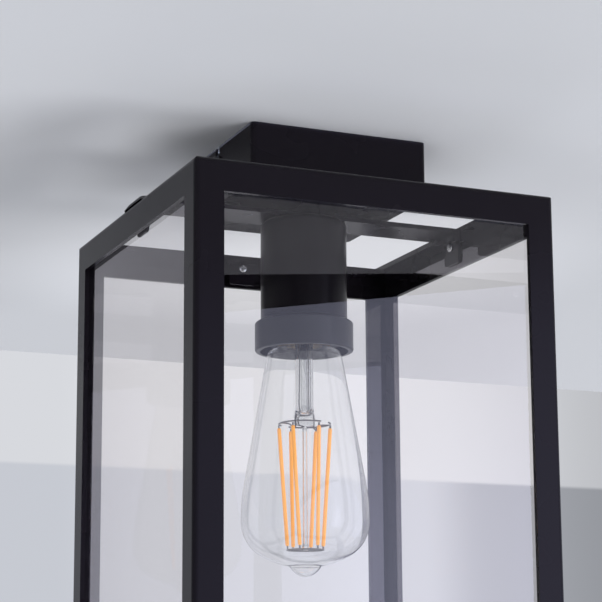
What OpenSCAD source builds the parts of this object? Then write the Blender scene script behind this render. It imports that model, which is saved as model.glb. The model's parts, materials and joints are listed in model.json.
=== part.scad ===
// Porch ceiling lantern: a square glazed steel frame that hangs under a box-shaped
// ceiling cover, with one lamp pointing down. Millimetres, +Z up, front towards -Y.
// The origin is the middle of the ceiling plane, on the lamp's axis.

/* [Frame] */
// Outer width of the lantern, along X and along Y
frame_w = 185; // [165:1:240]
// Height of the welded frame
frame_h = 264; // [245:1:340]
// Width of the corner posts' two legs
leg = 14; // [13:0.5:18]
// Depth of the rails' upright leg
rail_leg = 15.4; // [13:0.1:20]
// Width of the rails' flange, turned into the lantern
flange = 14; // [13:0.5:22]
// Thickness of the steel angle
steel_t = 2.5; // [1.8:0.1:3.2]
// Outer radius of the angle's heel and of the frame's upright corners
heel_r = 2.5; // [0.5:0.1:3]
// Width of the strap across the top
strap_w = 23.5; // [20:0.5:40]
// Thickness of the strap
strap_t = 2.2; // [1.5:0.1:4]
// Distance from the strap's ends to the outer faces
strap_inset = 1.5; // [0.5:0.1:4]

/* [Glazing] */
// Thickness of the glass panes
glass_t = 3; // [2:0.5:5]
// Play between a pane and the steel
glass_gap = 0.2; // [0.1:0.05:0.5]
// Gap between two panes where they meet in a corner
corner_gap = 1.5; // [0.8:0.1:3]
// Width of a glass clip
clip_w = 15.5; // [10:0.5:25]
// Thickness of a glass clip
clip_t = 1.2; // [0.8:0.1:2]
// Diameter of a clip screw's shank
clip_screw_d = 3; // [2.5:0.5:3.5]
// Diameter of a clip screw's head
clip_head_d = 4.8; // [4.4:0.1:6]
// Height of a clip screw's head
clip_head_h = 1.8; // [1.2:0.1:2.5]
// Wall round a clip screw's threaded hole
boss_wall = 1.5; // [1:0.1:3]
// Height of a lower clip's upright leg
clip_up = 9; // [6:0.5:14]

/* [Ceiling cover] */
// Outer width of the ceiling cover
canopy_w = 94; // [80:1:120]
// Height of the ceiling cover
canopy_h = 29.5; // [26:0.5:50]
// Sheet thickness of the ceiling cover
canopy_t = 1.2; // [0.8:0.1:2]
// Outer radius of the cover's upright corners
canopy_r = 2.5; // [1.5:0.1:5]
// Height of the collar between the cover and the strap
collar_h = 3; // [1:0.1:10]
// Diameter of the collar
collar_d = 23; // [16:0.5:24]

/* [Ceiling bracket] */
// Width of the ceiling bracket
bracket_w = 30; // [24:1:40]
// Thickness of the ceiling bracket
bracket_t = 2; // [1.5:0.1:3]
// Height of the bracket's ears, from the ceiling
ear_h = 12; // [10:0.5:18]
// Distance between the centres of the two ceiling slots
slot_pitch = 60; // [50:1:64]
// Length of a ceiling slot from end to end
slot_len = 12; // [8:0.5:14]
// Width of a ceiling slot
slot_w = 4.5; // [4:0.1:6]
// Diameter of the hole for the supply cable
cable_hole_d = 16; // [10:0.5:20]
// Diameter of a side screw's shank
side_screw_d = 4; // [3:0.5:5]
// Diameter of a side screw's head
side_head_d = 6; // [5.5:0.5:9]
// Height of a side screw's head
side_head_h = 2.4; // [1.5:0.1:4]
// Distance from the ceiling to the side screws
side_screw_drop = 7.4; // [5.5:0.1:8]

/* [Lampholder] */
// Diameter of the hollow threaded tube that carries the lampholder
nipple_d = 10; // [8:0.5:12]
// Wall of the threaded tube
nipple_wall = 1.5; // [1:0.1:2]
// Outer diameter of the lampholder's cover
sleeve_d = 44; // [42:0.5:48]
// Wall of the lampholder's cover
sleeve_t = 1.2; // [0.8:0.1:2]
// Height of the lampholder's cover
sleeve_h = 51.2; // [48:0.5:56]
// Radius of the cover's shoulder
sleeve_r = 3; // [1.5:0.1:4]
// Outer diameter of the shade ring
ring_d = 50; // [48.5:0.5:60]
// Height of the shade ring
ring_h = 16; // [13:0.5:20]
// Wall of the shade ring
ring_wall = 2.6; // [2:0.1:3]
// Diameter of the moulded lampholder
holder_d = 39.2; // [36:0.2:40]

/* [Lamp] */
// Greatest diameter of the lamp's glass
bulb_d = 64.4; // [58:0.2:70]
// Length of the lamp from its contact to its tip
bulb_len = 143; // [138:0.5:150]
// Diameter of the lamp's screw cap
cap_d = 26.2; // [25.8:0.1:26.6]
// Length of the lamp's screw cap
cap_len = 25.5; // [25:0.5:28]
// Distance from the frame's top to the lamp's contact
contact_drop = 37.8; // [36:0.1:39]
// Wall of the lamp's glass
bulb_wall = 0.9; // [0.6:0.1:1.5]
// Number of lit strips
strip_count = 6;
// Diameter of a lit strip
strip_d = 1.9; // [1.4:0.1:2.4]
// Length of a lit strip along the lamp's axis
strip_len = 59.5; // [50:0.5:62]
// Radius of the circle of strips at its upper end
strip_top_r = 12.9; // [11:0.1:15]
// Radius of the circle of strips at its lower end
strip_low_r = 9.1; // [7:0.1:12]

/* [Hidden] */
$fn = 64;
touch = 0.1;            // small gap between pieces that are screwed or dropped together
running = 0.05;         // radial clearance of a screw in its thread
cut = 1;                // how far a cutting shape runs past a face
half = frame_w / 2;

// levels, from the ceiling down
canopy_floor = -canopy_h;
strap_top = canopy_floor - collar_h;
frame_top = strap_top - strap_t;
frame_low = frame_top - frame_h;

// glazing, measured in from the frame's outer faces
pane_in = steel_t + glass_gap;
clip_in = pane_in + glass_t + touch;
pane_w = frame_w - 2 * (pane_in + glass_t + corner_gap);
boss_r = clip_screw_d / 2 + boss_wall;
clip_top = steel_t + glass_gap;
screw_drop = clip_top + clip_head_d / 2;
pane_drop = screw_drop + boss_r + 0.6;
pane_h = frame_h - pane_drop - steel_t - glass_gap;
clip_h = rail_leg - 1 - clip_top;
clip_corner_r = 2;
clip_bend = clip_t + 0.6;
clip_end = flange - 0.5; // how far in a lower clip's foot reaches
foot_screw = (clip_in + clip_t + clip_end) / 2;
thread_skin = 1;        // steel left between a clip screw's hole and the outer face

// ceiling bracket
bracket_span = canopy_w - 2 * canopy_t - 0.6;
bend_r = bracket_t + 1;
side_screw_len = canopy_t + 0.3 + bracket_t + 4;

// threaded tube and its fasteners
nipple_r = nipple_d / 2;
nut_flats = nipple_d * 1.5;
nut_h = 4;
washer_h = 1.2;
washer_r = nipple_d;
sleeve_top_t = 1.5;
thread_in = 8;          // length of tube screwed into the lampholder
nipple_top = canopy_floor + canopy_t + washer_h + nut_h + 1.5;
nipple_low = frame_top - sleeve_top_t - thread_in;

// terminal block on the floor of the ceiling cover
block_w = 30;
block_d = 15;
block_h = 13;
block_y = canopy_w * 0.3;
block_pitch = 9.5;
block_base = canopy_floor + canopy_t;
block_deck = 8;         // height of the body between the round towers
tower_r = 4;
way_z = 5.5;            // height of the cable ways
way_r = 2;
clamp_r = 1.75;         // clamp screw
fixing_r = 1.5;         // fixing screw
fixing_head_r = 2.4;

// lampholder
holder_r = holder_d / 2;
ring_top = frame_top - sleeve_h - touch;
ring_low = ring_top - ring_h;
ring_collar_h = 4;      // depth of the ring's threaded collar
holder_low = ring_low + 4.2;
cap_r = cap_d / 2;
socket_r = cap_r + 0.35;
socket_t = 0.7;
contact_top = frame_top - contact_drop;
socket_top = contact_top + 3;

// lamp glass: the profile is measured up from the crown's lowest point
bulb_r = bulb_d / 2;
tip_h = 4.5;
tip_r = 7.4;
crown_r = 45;
corner_r = 19.8;
waist_r = 110;
flare = 10.1;
neck_r = cap_r - 0.75;
neck_in = 6.5;          // length of neck inside the cap
shoulder_h = 5;
crown_z = contact_top - bulb_len + tip_h;
corner_x = bulb_r - corner_r;
corner_h = crown_r - sqrt(pow(crown_r - corner_r, 2) - pow(corner_x, 2));
crown_a = asin(corner_x / (crown_r - corner_r));
waist_x = bulb_r - waist_r;
flare_h = corner_h + waist_r * sin(flare);
flare_x = waist_x + waist_r * cos(flare);
neck_h = bulb_len - tip_h - cap_len;
shoulder_low_h = neck_h - shoulder_h;
tip_sphere = (tip_r * tip_r + tip_h * tip_h) / (2 * tip_h);

// mount inside the lamp
stem_r = 4.5;
stem_wall = 1;
stem_flare = 9;         // height of the flare at the stem's upper end
pinch_drop = 67.5;      // from the lamp's contact to the stem's flat foot
pinch_h = 7;            // height of the flat foot
pinch_half = 1.7;       // half its thickness
pinch_low = contact_top - pinch_drop;
lead_out = 2.2;         // how far the leads stand off the stem
strip_top_z = pinch_low - 1;
strip_low_z = strip_top_z - strip_len;
wire_r = 0.4;
strip_turn = 40;        // angle of the first strip round the axis
strip_twist = 9;        // how far the lower ends are turned on from the upper ones
rod_r = 1.8;
star_z = strip_low_z - 2;

SIDES = ["front", "right", "back", "left"];

// ---- shapes that repeat ----

// a rectangle with round corners, centred
module round_rect(width, height, r) {
    square([width - 2 * r, height], center = true);
    square([width, height - 2 * r], center = true);
    for (x = [-1, 1], y = [-1, 1])
        translate([x * (width / 2 - r), y * (height / 2 - r)]) circle(r = r);
}

// steel angle with its round heel at the origin, one leg along +X and one along -Y
module angle_section(across, down) {
    difference() {
        union() {
            translate([heel_r, -heel_r]) circle(r = heel_r);
            translate([heel_r, -down]) square([across - heel_r, down]);
            translate([0, -down]) square([across, down - heel_r]);
        }
        translate([steel_t, -down - cut]) square([across, down + cut - steel_t]);
    }
}

// turns a piece made for the front to one of the four sides
module on_side(side) {
    rotate([0, 0, 90 * search([side], SIDES)[0]]) children();
}

// puts a shape drawn from a rail's outer top edge on the upper or the lower ring
module on_ring(upper) {
    translate([0, -half, upper ? frame_top : frame_low])
        mirror([0, 0, upper ? 0 : 1]) children();
}

// a shape along a line into the lantern, at a clip screw's height
module at_clip_screw() {
    translate([0, 0, -screw_drop]) rotate([-90, 0, 0]) children();
}

// pan head with a cross recess; the shank runs down from z = 0
module pan_screw(shank_r, shank_l, head_r, head_h) {
    edge = head_h * 0.45;
    difference() {
        union() {
            translate([0, 0, -shank_l]) cylinder(r = shank_r, h = shank_l);
            rotate_extrude() {
                square([head_r, head_h - edge]);
                square([head_r - edge, head_h]);
                intersection() {
                    translate([head_r - edge, head_h - edge]) circle(r = edge);
                    square([head_r, head_h]);
                }
            }
        }
        for (turn = [45, 135])
            rotate([0, 0, turn]) translate([0, 0, head_h])
                cube([head_r * 1.25, head_r * 0.24, head_h], center = true);
    }
}

// a straight round bar from one point to another
module bar(a, b, r) {
    d = b - a;
    len = norm(d);
    translate(a) rotate([0, acos(d[2] / len), atan2(d[1], d[0])]) cylinder(r = r, h = len, $fn = 24);
}

// ---- ceiling side ----

module ceiling_bracket() {
    color("silver") difference() {
        translate([0, bracket_w / 2, 0]) rotate([90, 0, 0]) linear_extrude(height = bracket_w)
            difference() {
                union() {
                    translate([-bracket_span / 2 + bend_r, -bend_r])
                        square([bracket_span - 2 * bend_r, bend_r]);
                    translate([-bracket_span / 2, -ear_h]) square([bracket_span, ear_h - bend_r]);
                    for (x = [-1, 1])
                        translate([x * (bracket_span / 2 - bend_r), -bend_r]) circle(r = bend_r);
                }
                inner = bracket_span / 2 - bracket_t;
                bend_in = bend_r - bracket_t;
                translate([-inner, -ear_h - cut]) square([2 * inner, ear_h + cut - bend_r]);
                translate([-inner + bend_in, -bend_r]) square([2 * (inner - bend_in), bend_in]);
                for (x = [-1, 1]) translate([x * (inner - bend_in), -bend_r]) circle(r = bend_in);
            }
        translate([0, 0, -bracket_t - cut]) cylinder(d = cable_hole_d, h = bracket_t + 2 * cut);
        for (side = [-1, 1]) translate([side * slot_pitch / 2, 0, -bracket_t - cut]) {
            for (end = [-1, 1]) translate([end * (slot_len - slot_w) / 2, 0, 0])
                cylinder(d = slot_w, h = bracket_t + 2 * cut);
            translate([-(slot_len - slot_w) / 2, -slot_w / 2, 0])
                cube([slot_len - slot_w, slot_w, bracket_t + 2 * cut]);
        }
        translate([-bracket_span / 2 - cut, 0, -side_screw_drop]) rotate([0, 90, 0])
            cylinder(r = side_screw_d / 2 + running, h = bracket_span + 2 * cut);
    }
}

module side_screw(side) {
    color("gainsboro") translate([side * (canopy_w / 2 + touch), 0, -side_screw_drop])
        rotate([0, side * 90, 0])
            pan_screw(side_screw_d / 2, side_screw_len, side_head_d / 2, side_head_h);
}

module side_screw_left() side_screw(-1);
module side_screw_right() side_screw(1);

// open-topped box; each side wall has a slot, open at the ceiling, that drops off its screw
module ceiling_cover() {
    slot = side_screw_d + 0.6;
    color([0.1, 0.1, 0.11]) difference() {
        translate([0, 0, canopy_floor]) linear_extrude(height = canopy_h)
            round_rect(canopy_w, canopy_w, canopy_r);
        translate([0, 0, canopy_floor + canopy_t]) linear_extrude(height = canopy_h)
            round_rect(canopy_w - 2 * canopy_t, canopy_w - 2 * canopy_t, canopy_r - canopy_t);
        translate([0, 0, canopy_floor - cut])
            cylinder(r = nipple_r + touch, h = canopy_t + 2 * cut);
        for (at = [[block_pitch / 2, block_y], [0, -block_y]])
            translate([at[0], at[1], canopy_floor + canopy_t / 4])
                cylinder(r = fixing_r + running, h = canopy_t);
        translate([-canopy_w / 2 - cut, 0, -side_screw_drop]) rotate([0, 90, 0])
            cylinder(d = slot, h = canopy_w + 2 * cut);
        translate([-canopy_w / 2 - cut, -slot / 2, -side_screw_drop])
            cube([canopy_w + 2 * cut, slot, side_screw_drop + cut]);
    }
}

// three-way block: round cable ways along Y, a screw from above into each
module terminal_block() {
    color("whitesmoke") translate([0, block_y, block_base]) difference() {
        rotate([90, 0, 0]) linear_extrude(height = block_d, center = true) {
            translate([-block_w / 2, 0]) square([block_w, block_deck]);
            for (n = [-1:1]) translate([n * block_pitch, block_h - tower_r]) {
                circle(r = tower_r);
                translate([-tower_r, -tower_r]) square([2 * tower_r, tower_r]);
            }
        }
        for (n = [-1:1]) translate([n * block_pitch, 0, way_z]) {
            rotate([90, 0, 0]) cylinder(r = way_r, h = block_d + 2 * cut, center = true);
            cylinder(r = clamp_r + running, h = block_h);
        }
        for (n = [-0.5, 0.5]) translate([n * block_pitch, 0, 0]) {
            translate([0, 0, -cut]) cylinder(r = fixing_r + running, h = block_h);
            translate([0, 0, block_deck]) cylinder(r = fixing_head_r + 2 * touch, h = block_h);
        }
    }
}

module terminal_screws() {
    low = way_z - 0.5;
    len = block_h - low - 1;
    color("goldenrod") for (n = [-1:1])
        translate([n * block_pitch, block_y, block_base + low]) difference() {
            cylinder(r = clamp_r, h = len);
            translate([0, 0, len]) cube([3 * clamp_r, 0.7, 1.4], center = true);
        }
}

module block_fixing_screw() {
    color("silver") translate([block_pitch / 2, block_y, block_base + block_deck + touch])
        pan_screw(fixing_r, block_deck + touch + canopy_t / 2, fixing_head_r, 1.6);
}

module earth_screw() {
    washer = 1.2;
    color("goldenrod") translate([0, -block_y, canopy_floor + canopy_t + touch]) {
        cylinder(r = 4.2, h = washer);
        translate([0, 0, washer]) pan_screw(fixing_r, washer + touch + canopy_t / 2, 3, 2);
    }
}

// ---- what carries the lampholder ----

module threaded_tube() {
    color("silver") translate([0, 0, nipple_low]) difference() {
        cylinder(r = nipple_r, h = nipple_top - nipple_low);
        translate([0, 0, -cut]) cylinder(r = nipple_r - nipple_wall, h = nipple_top - nipple_low + 2 * cut);
    }
}

module tube_washer() {
    color("silver") translate([0, 0, canopy_floor + canopy_t]) difference() {
        cylinder(r = washer_r, h = washer_h);
        translate([0, 0, -cut]) cylinder(r = nipple_r + touch, h = washer_h + 2 * cut);
    }
}

module tube_nut() {
    color("silver") translate([0, 0, canopy_floor + canopy_t + washer_h]) difference() {
        cylinder(d = nut_flats / cos(30), h = nut_h, $fn = 6);
        translate([0, 0, -cut]) cylinder(r = nipple_r + running, h = nut_h + 2 * cut);
    }
}

module collar() {
    color("silver") translate([0, 0, strap_top]) difference() {
        cylinder(d = collar_d, h = collar_h);
        translate([0, 0, -cut]) cylinder(r = nipple_r + touch, h = collar_h + 2 * cut);
    }
}

module cross_strap() {
    len = frame_w - 2 * strap_inset;
    r = 3;
    color([0.13, 0.13, 0.14]) translate([0, 0, frame_top]) difference() {
        linear_extrude(height = strap_t) round_rect(len, strap_w, r);
        translate([0, 0, -cut]) cylinder(r = nipple_r + touch, h = strap_t + 2 * cut);
    }
}

// ---- welded frame ----

// mitred at both ends; at mid length an upper rail has a blind threaded boss for its
// glass clip, and a lower rail a threaded hole through its flange
module rail(side, upper) {
    color([0.14, 0.14, 0.15]) on_side(side) intersection() {
        on_ring(upper) difference() {
            union() {
                rotate([90, 0, 90]) linear_extrude(height = frame_w, center = true)
                    angle_section(flange, rail_leg);
                if (upper) at_clip_screw() translate([0, 0, steel_t / 2])
                    cylinder(r = boss_r, h = clip_in - steel_t / 2);
            }
            if (upper) at_clip_screw() translate([0, 0, thread_skin])
                cylinder(r = clip_screw_d / 2 + running, h = clip_in);
            else translate([0, foot_screw, -steel_t - cut])
                cylinder(r = clip_screw_d / 2 + running, h = steel_t + 2 * cut);
        }
        translate([0, 0, frame_low - cut]) linear_extrude(height = frame_h + 2 * cut)
            polygon([[0, 0], [-frame_w, -frame_w], [frame_w, -frame_w]]);
        translate([0, 0, frame_low - cut]) linear_extrude(height = frame_h + 2 * cut)
            round_rect(frame_w, frame_w, heel_r);
        translate([0, half, (frame_top + frame_low) / 2]) rotate([90, 0, 0])
            linear_extrude(height = frame_w) round_rect(frame_w, frame_h, heel_r);
    }
}

// stands between the two rings, its faces flush with theirs
module post(turn) {
    color([0.15, 0.15, 0.16]) rotate([0, 0, turn]) translate([-half, -half, frame_low + rail_leg])
        linear_extrude(height = frame_h - 2 * rail_leg) mirror([0, 1]) angle_section(leg, leg);
}

module pane(side) {
    color([0.8, 0.88, 0.9, 0.35]) on_side(side)
        translate([-pane_w / 2, -half + pane_in, frame_low + steel_t + glass_gap])
            cube([pane_w, glass_t, pane_h]);
}

// plate of a glass clip, from a straight end at y = 0 to two round corners
module tab(len) {
    r = clip_corner_r;
    linear_extrude(height = clip_t) {
        translate([-clip_w / 2, 0]) square([clip_w, len - r]);
        translate([-clip_w / 2 + r, 0]) square([clip_w - 2 * r, len]);
        for (x = [-1, 1]) translate([x * (clip_w / 2 - r), len - r]) circle(r = r);
    }
}

// flat plate that bears on the boss and laps over the pane
module upper_clip(side) {
    color([0.12, 0.12, 0.13]) on_side(side) on_ring(true) difference() {
        translate([0, clip_in, -clip_top]) rotate([-90, 0, 0]) tab(clip_h);
        at_clip_screw() cylinder(r = clip_screw_d / 2 + touch, h = clip_in + clip_t + cut);
    }
}

// bent plate: its foot is screwed down on the flange, its upright stands behind the pane
module lower_clip(side) {
    color([0.12, 0.12, 0.13]) on_side(side)
        translate([0, -half + clip_in, frame_low + steel_t]) difference() {
            union() {
                translate([0, clip_bend, 0]) tab(clip_end - clip_in - clip_bend);
                translate([0, clip_t, clip_bend]) rotate([90, 0, 0]) tab(clip_up - clip_bend);
                translate([-clip_w / 2, clip_bend, clip_bend]) rotate([90, 0, 90])
                    linear_extrude(height = clip_w) intersection() {
                        difference() {
                            circle(r = clip_bend);
                            circle(r = clip_bend - clip_t);
                        }
                        translate([-clip_bend, -clip_bend]) square(clip_bend);
                    }
            }
            translate([0, foot_screw - clip_in, -cut])
                cylinder(r = clip_screw_d / 2 + touch, h = clip_t + 2 * cut);
        }
}

module upper_clip_screws() {
    shank = clip_in + clip_t - thread_skin - 0.3;
    color("gainsboro") for (side = SIDES) on_side(side) on_ring(true)
        at_clip_screw() translate([0, 0, clip_in + clip_t])
            pan_screw(clip_screw_d / 2, shank, clip_head_d / 2, clip_head_h);
}

module lower_clip_screws() {
    shank = clip_t + steel_t - 0.2;
    color("gainsboro") for (side = SIDES) on_side(side)
        translate([0, -half + foot_screw, frame_low + steel_t + clip_t])
            pan_screw(clip_screw_d / 2, shank, clip_head_d / 2, clip_head_h);
}

// ---- lampholder ----

// half outline of a cup turned upside down: a wall, a round shoulder and a flat top
module shoulder_line(r, height, round_r) {
    square([r, height - round_r]);
    square([r - round_r, height]);
    translate([r - round_r, height - round_r]) circle(r = round_r);
}

// cup with a round shoulder, clamped under the strap
module lampholder_sleeve() {
    r = sleeve_d / 2;
    color([0.16, 0.16, 0.17]) translate([0, 0, frame_top - sleeve_h]) rotate_extrude($fn = 96)
        difference() {
            shoulder_line(r, sleeve_h, sleeve_r);
            translate([0, -cut])
                shoulder_line(r - sleeve_t, sleeve_h + cut - sleeve_top_t, sleeve_r - sleeve_t);
            translate([0, -cut]) square([nipple_r + touch, sleeve_h + 2 * cut]);
        }
}

// moulded body: a threaded boss above, the socket's well below
module lampholder_body() {
    top = frame_top - sleeve_top_t;
    height = top - holder_low;
    color([0.2, 0.2, 0.21]) translate([0, 0, holder_low]) rotate_extrude() difference() {
        polygon([
            [0, 0], [holder_r, 0], [holder_r, height - 18], [holder_r - 5, height - 13],
            [nipple_r + 4, height - 9], [nipple_r + 4, height], [0, height]
        ]);
        translate([0, -cut]) square([socket_r + socket_t + touch, socket_top - holder_low + cut]);
        translate([0, height - thread_in - 1]) square([nipple_r + running, thread_in + 1 + cut]);
    }
}

module socket_shell() {
    color("goldenrod") translate([0, 0, holder_low + 1]) difference() {
        cylinder(r = socket_r + socket_t, h = socket_top - holder_low - 3);
        translate([0, 0, -cut]) cylinder(r = socket_r, h = socket_top - holder_low);
    }
}

// sprung tongue, bent down in a Z from the well's roof to the lamp's contact
module centre_contact() {
    roof = socket_top - contact_top;
    color("goldenrod") translate([0, 3.5, contact_top]) rotate([90, 0, 0]) linear_extrude(height = 7)
        polygon([
            [-11, roof], [-11, roof - 0.6], [-5.4, roof - 0.6], [-3.2, touch], [4, touch],
            [4, touch + 0.6], [-2.9, touch + 0.6], [-5, roof]
        ]);
}

// ring with a rounded shoulder; its collar is screwed on the moulded body
module shade_ring() {
    r = ring_d / 2;
    step = r - sleeve_d / 2;
    low_r = 1;
    color([0.2, 0.2, 0.21]) translate([0, 0, ring_low]) rotate_extrude($fn = 96) difference() {
        union() {
            translate([0, low_r]) square([r, ring_h - 2 - low_r]);
            square([r - low_r, ring_h - 2]);
            translate([r - low_r, low_r]) circle(r = low_r);
            translate([0, ring_h - 2]) polygon([
                for (u = [0:0.125:1]) [r - step * pow(u, 1.6), 2 * u],
                [0, 2], [0, 0]
            ]);
        }
        translate([0, -cut]) square([r - ring_wall, ring_h + cut - ring_collar_h]);
        translate([0, -cut]) square([holder_r + touch, ring_h + 2 * cut]);
    }
}

// ---- lamp ----

module lamp_contact() {
    color("silver") translate([0, 0, contact_top - 1.2]) rotate_extrude()
        polygon([[0, 0], [4.8, 0], [4.8, 0.6], [3.8, 1.1], [0, 1.2]]);
}

module lamp_insulator() {
    color([0.08, 0.08, 0.09]) translate([0, 0, contact_top]) rotate_extrude()
        polygon([[0, -6.4], [cap_r - 2.1, -6.4], [cap_r - 2.1, -5.2], [5.6, -1.2], [0, -1.2]]);
}

module lamp_cap() {
    wall = 0.45;
    color("goldenrod") translate([0, 0, contact_top]) rotate_extrude()
        polygon([
            [cap_r - 2.05, -5.2], [cap_r - 1.7, -5.2], [cap_r, -8.2], [cap_r, -cap_len],
            [cap_r - wall, -cap_len], [cap_r - wall, -8.4], [cap_r - 2.05, -6.2]
        ]);
}

// outer or inner outline of the glass, from the crown up to the neck, inset by a wall
function glass_line(w) = concat(
    [for (a = [0:3:crown_a - 1]) [(crown_r - w) * sin(a), crown_r - (crown_r - w) * cos(a)]],
    [for (a = [crown_a:5:90]) [corner_x + (corner_r - w) * sin(a), corner_h - (corner_r - w) * cos(a)]],
    [for (n = [0:4]) let (a = flare * n / 4)
        [waist_x + (waist_r - w) * cos(a), corner_h + (waist_r - w) * sin(a)]],
    [for (n = [0:8]) let (u = n / 8, s = u * u * (3 - 2 * u))
        [flare_r(shoulder_low_h + u * shoulder_h) * (1 - s) + neck_r * s - w,
         shoulder_low_h + u * shoulder_h]],
    [[neck_r - w, neck_h + neck_in]]
);

// radius of the straight flare at a height above the crown
function flare_r(h) = flare_x - (h - flare_h) * tan(flare);

// blown envelope, open where the cap holds it, with the drawn-off tip below
module lamp_glass() {
    outside = glass_line(0);
    inside = glass_line(bulb_wall);
    color([0.85, 0.9, 0.92, 0.35]) translate([0, 0, crown_z]) rotate_extrude($fn = 96) {
        polygon(concat(outside, [for (i = [len(inside) - 1:-1:0]) inside[i]]));
        intersection() {
            translate([0, tip_sphere - tip_h]) circle(r = tip_sphere);
            translate([0, -tip_h]) square([tip_r, tip_h + bulb_wall * 0.9]);
        }
    }
}

// flared tube, pressed flat at its foot, with the rod that the strips hang round
module lamp_stem() {
    rim_z = contact_top - cap_len + neck_in - 1;
    rim_r = neck_r - bulb_wall - touch;
    tube_z = rim_z - stem_flare;
    bore_z = pinch_low + pinch_h - 2;
    color([0.85, 0.9, 0.92, 0.35]) {
        rotate_extrude() polygon([
            [rim_r, rim_z], [rim_r - stem_wall, rim_z], [stem_r + 0.6, tube_z + 3], [stem_r - stem_wall, tube_z],
            [stem_r - stem_wall, bore_z + 6], [0, bore_z + 3], [0, bore_z],
            [stem_r, bore_z + 1], [stem_r, tube_z], [stem_r + 1.8, tube_z + 3]
        ]);
        translate([0, 0, pinch_low]) linear_extrude(height = pinch_h) {
            square([2 * stem_r, 2 * pinch_half], center = true);
            for (x = [-1, 1]) translate([x * stem_r, 0]) circle(r = pinch_half, $fn = 24);
        }
        translate([0, 0, star_z]) cylinder(r = rod_r, h = pinch_low - star_z + 1);
    }
}

// two half rings, one for each pole, each on a wire out of the stem's foot
module lamp_support_wires() {
    color("dimgray") translate([0, 0, pinch_low + 1]) for (turn = [0, 180]) rotate([0, 0, turn]) {
        rotate([0, 0, strip_turn - 85]) rotate_extrude(angle = 150, $fn = 48)
            translate([strip_top_r, 0]) circle(r = wire_r, $fn = 16);
        bar([stem_r + lead_out, 0, 0], [strip_top_r, 0, 0], wire_r);
        bar([stem_r + lead_out, 0, -4 * wire_r], [stem_r + lead_out, 0, pinch_h - 0.5], wire_r);
    }
}

module lamp_strip(n) {
    a = strip_turn + n * 360 / strip_count;
    b = a + strip_twist;
    top = [strip_top_r * cos(a), strip_top_r * sin(a), strip_top_z];
    low = [strip_low_r * cos(b), strip_low_r * sin(b), strip_low_z];
    way = (low - top) / norm(low - top);
    color("orange") {
        bar(top, low, strip_d / 2);
        bar(top - way * 1.2, top, wire_r);
        bar(low, low + way * 1.2, wire_r);
    }
}

module lamp_strip_1() lamp_strip(0);
module lamp_strip_2() lamp_strip(1);
module lamp_strip_3() lamp_strip(2);
module lamp_strip_4() lamp_strip(3);
module lamp_strip_5() lamp_strip(4);
module lamp_strip_6() lamp_strip(5);

// joins the strips' lower ends and is carried by the rod
module lamp_strip_ring() {
    color("dimgray") translate([0, 0, star_z + 0.2]) {
        rotate_extrude($fn = 48) translate([strip_low_r, 0]) circle(r = wire_r, $fn = 16);
        for (turn = [0:120:240]) rotate([0, 0, turn])
            bar([rod_r + touch, 0, 0], [strip_low_r, 0, 0], wire_r);
    }
}

module post_front_left() post(0);
module post_front_right() post(90);
module post_back_right() post(180);
module post_back_left() post(270);

ceiling_bracket();
side_screw_left();
side_screw_right();
ceiling_cover();
terminal_block();
terminal_screws();
block_fixing_screw();
earth_screw();
threaded_tube();
tube_washer();
tube_nut();
collar();
cross_strap();
post_front_left();
post_front_right();
post_back_right();
post_back_left();
rail("front", true);  // top_rail_front
rail("right", true);  // top_rail_right
rail("back", true);  // top_rail_back
rail("left", true);  // top_rail_left
rail("front", false);  // bottom_rail_front
rail("right", false);  // bottom_rail_right
rail("back", false);  // bottom_rail_back
rail("left", false);  // bottom_rail_left
pane("front");  // pane_front
pane("right");  // pane_right
pane("back");  // pane_back
pane("left");  // pane_left
upper_clip("front");  // upper_clip_front
upper_clip("right");  // upper_clip_right
upper_clip("back");  // upper_clip_back
upper_clip("left");  // upper_clip_left
lower_clip("front");  // lower_clip_front
lower_clip("right");  // lower_clip_right
lower_clip("back");  // lower_clip_back
lower_clip("left");  // lower_clip_left
upper_clip_screws();
lower_clip_screws();
lampholder_sleeve();
lampholder_body();
socket_shell();
centre_contact();
shade_ring();
lamp_contact();
lamp_insulator();
lamp_cap();
lamp_glass();
lamp_stem();
lamp_support_wires();
lamp_strip_ring();
lamp_strip_1();
lamp_strip_2();
lamp_strip_3();
lamp_strip_4();
lamp_strip_5();
lamp_strip_6();
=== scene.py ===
import json
import math

import bmesh
import bpy
import numpy as np
from mathutils import Matrix, Vector


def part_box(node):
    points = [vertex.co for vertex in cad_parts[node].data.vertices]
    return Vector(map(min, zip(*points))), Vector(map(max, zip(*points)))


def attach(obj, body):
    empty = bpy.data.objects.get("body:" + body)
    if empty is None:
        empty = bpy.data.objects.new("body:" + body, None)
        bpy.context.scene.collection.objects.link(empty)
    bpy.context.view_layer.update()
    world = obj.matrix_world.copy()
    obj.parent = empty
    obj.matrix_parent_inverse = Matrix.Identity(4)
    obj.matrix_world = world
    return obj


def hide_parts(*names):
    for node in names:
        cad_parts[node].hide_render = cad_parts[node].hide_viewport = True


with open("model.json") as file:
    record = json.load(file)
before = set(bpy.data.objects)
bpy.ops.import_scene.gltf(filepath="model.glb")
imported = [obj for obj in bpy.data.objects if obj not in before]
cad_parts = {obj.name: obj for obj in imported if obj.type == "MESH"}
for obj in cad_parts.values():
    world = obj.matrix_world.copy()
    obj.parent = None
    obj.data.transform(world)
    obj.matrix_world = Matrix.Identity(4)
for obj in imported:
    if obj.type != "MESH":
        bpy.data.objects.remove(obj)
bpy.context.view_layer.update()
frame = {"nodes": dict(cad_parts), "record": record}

nodes = frame["nodes"]
mm = 0.001
bpy.context.scene.view_settings.view_transform = "Standard"
print("stage: frame loaded,", len(nodes), "nodes")


def span(node):  # lowest and highest corner of a CAD node
    low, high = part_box(node)
    return np.array(low), np.array(high)


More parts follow.
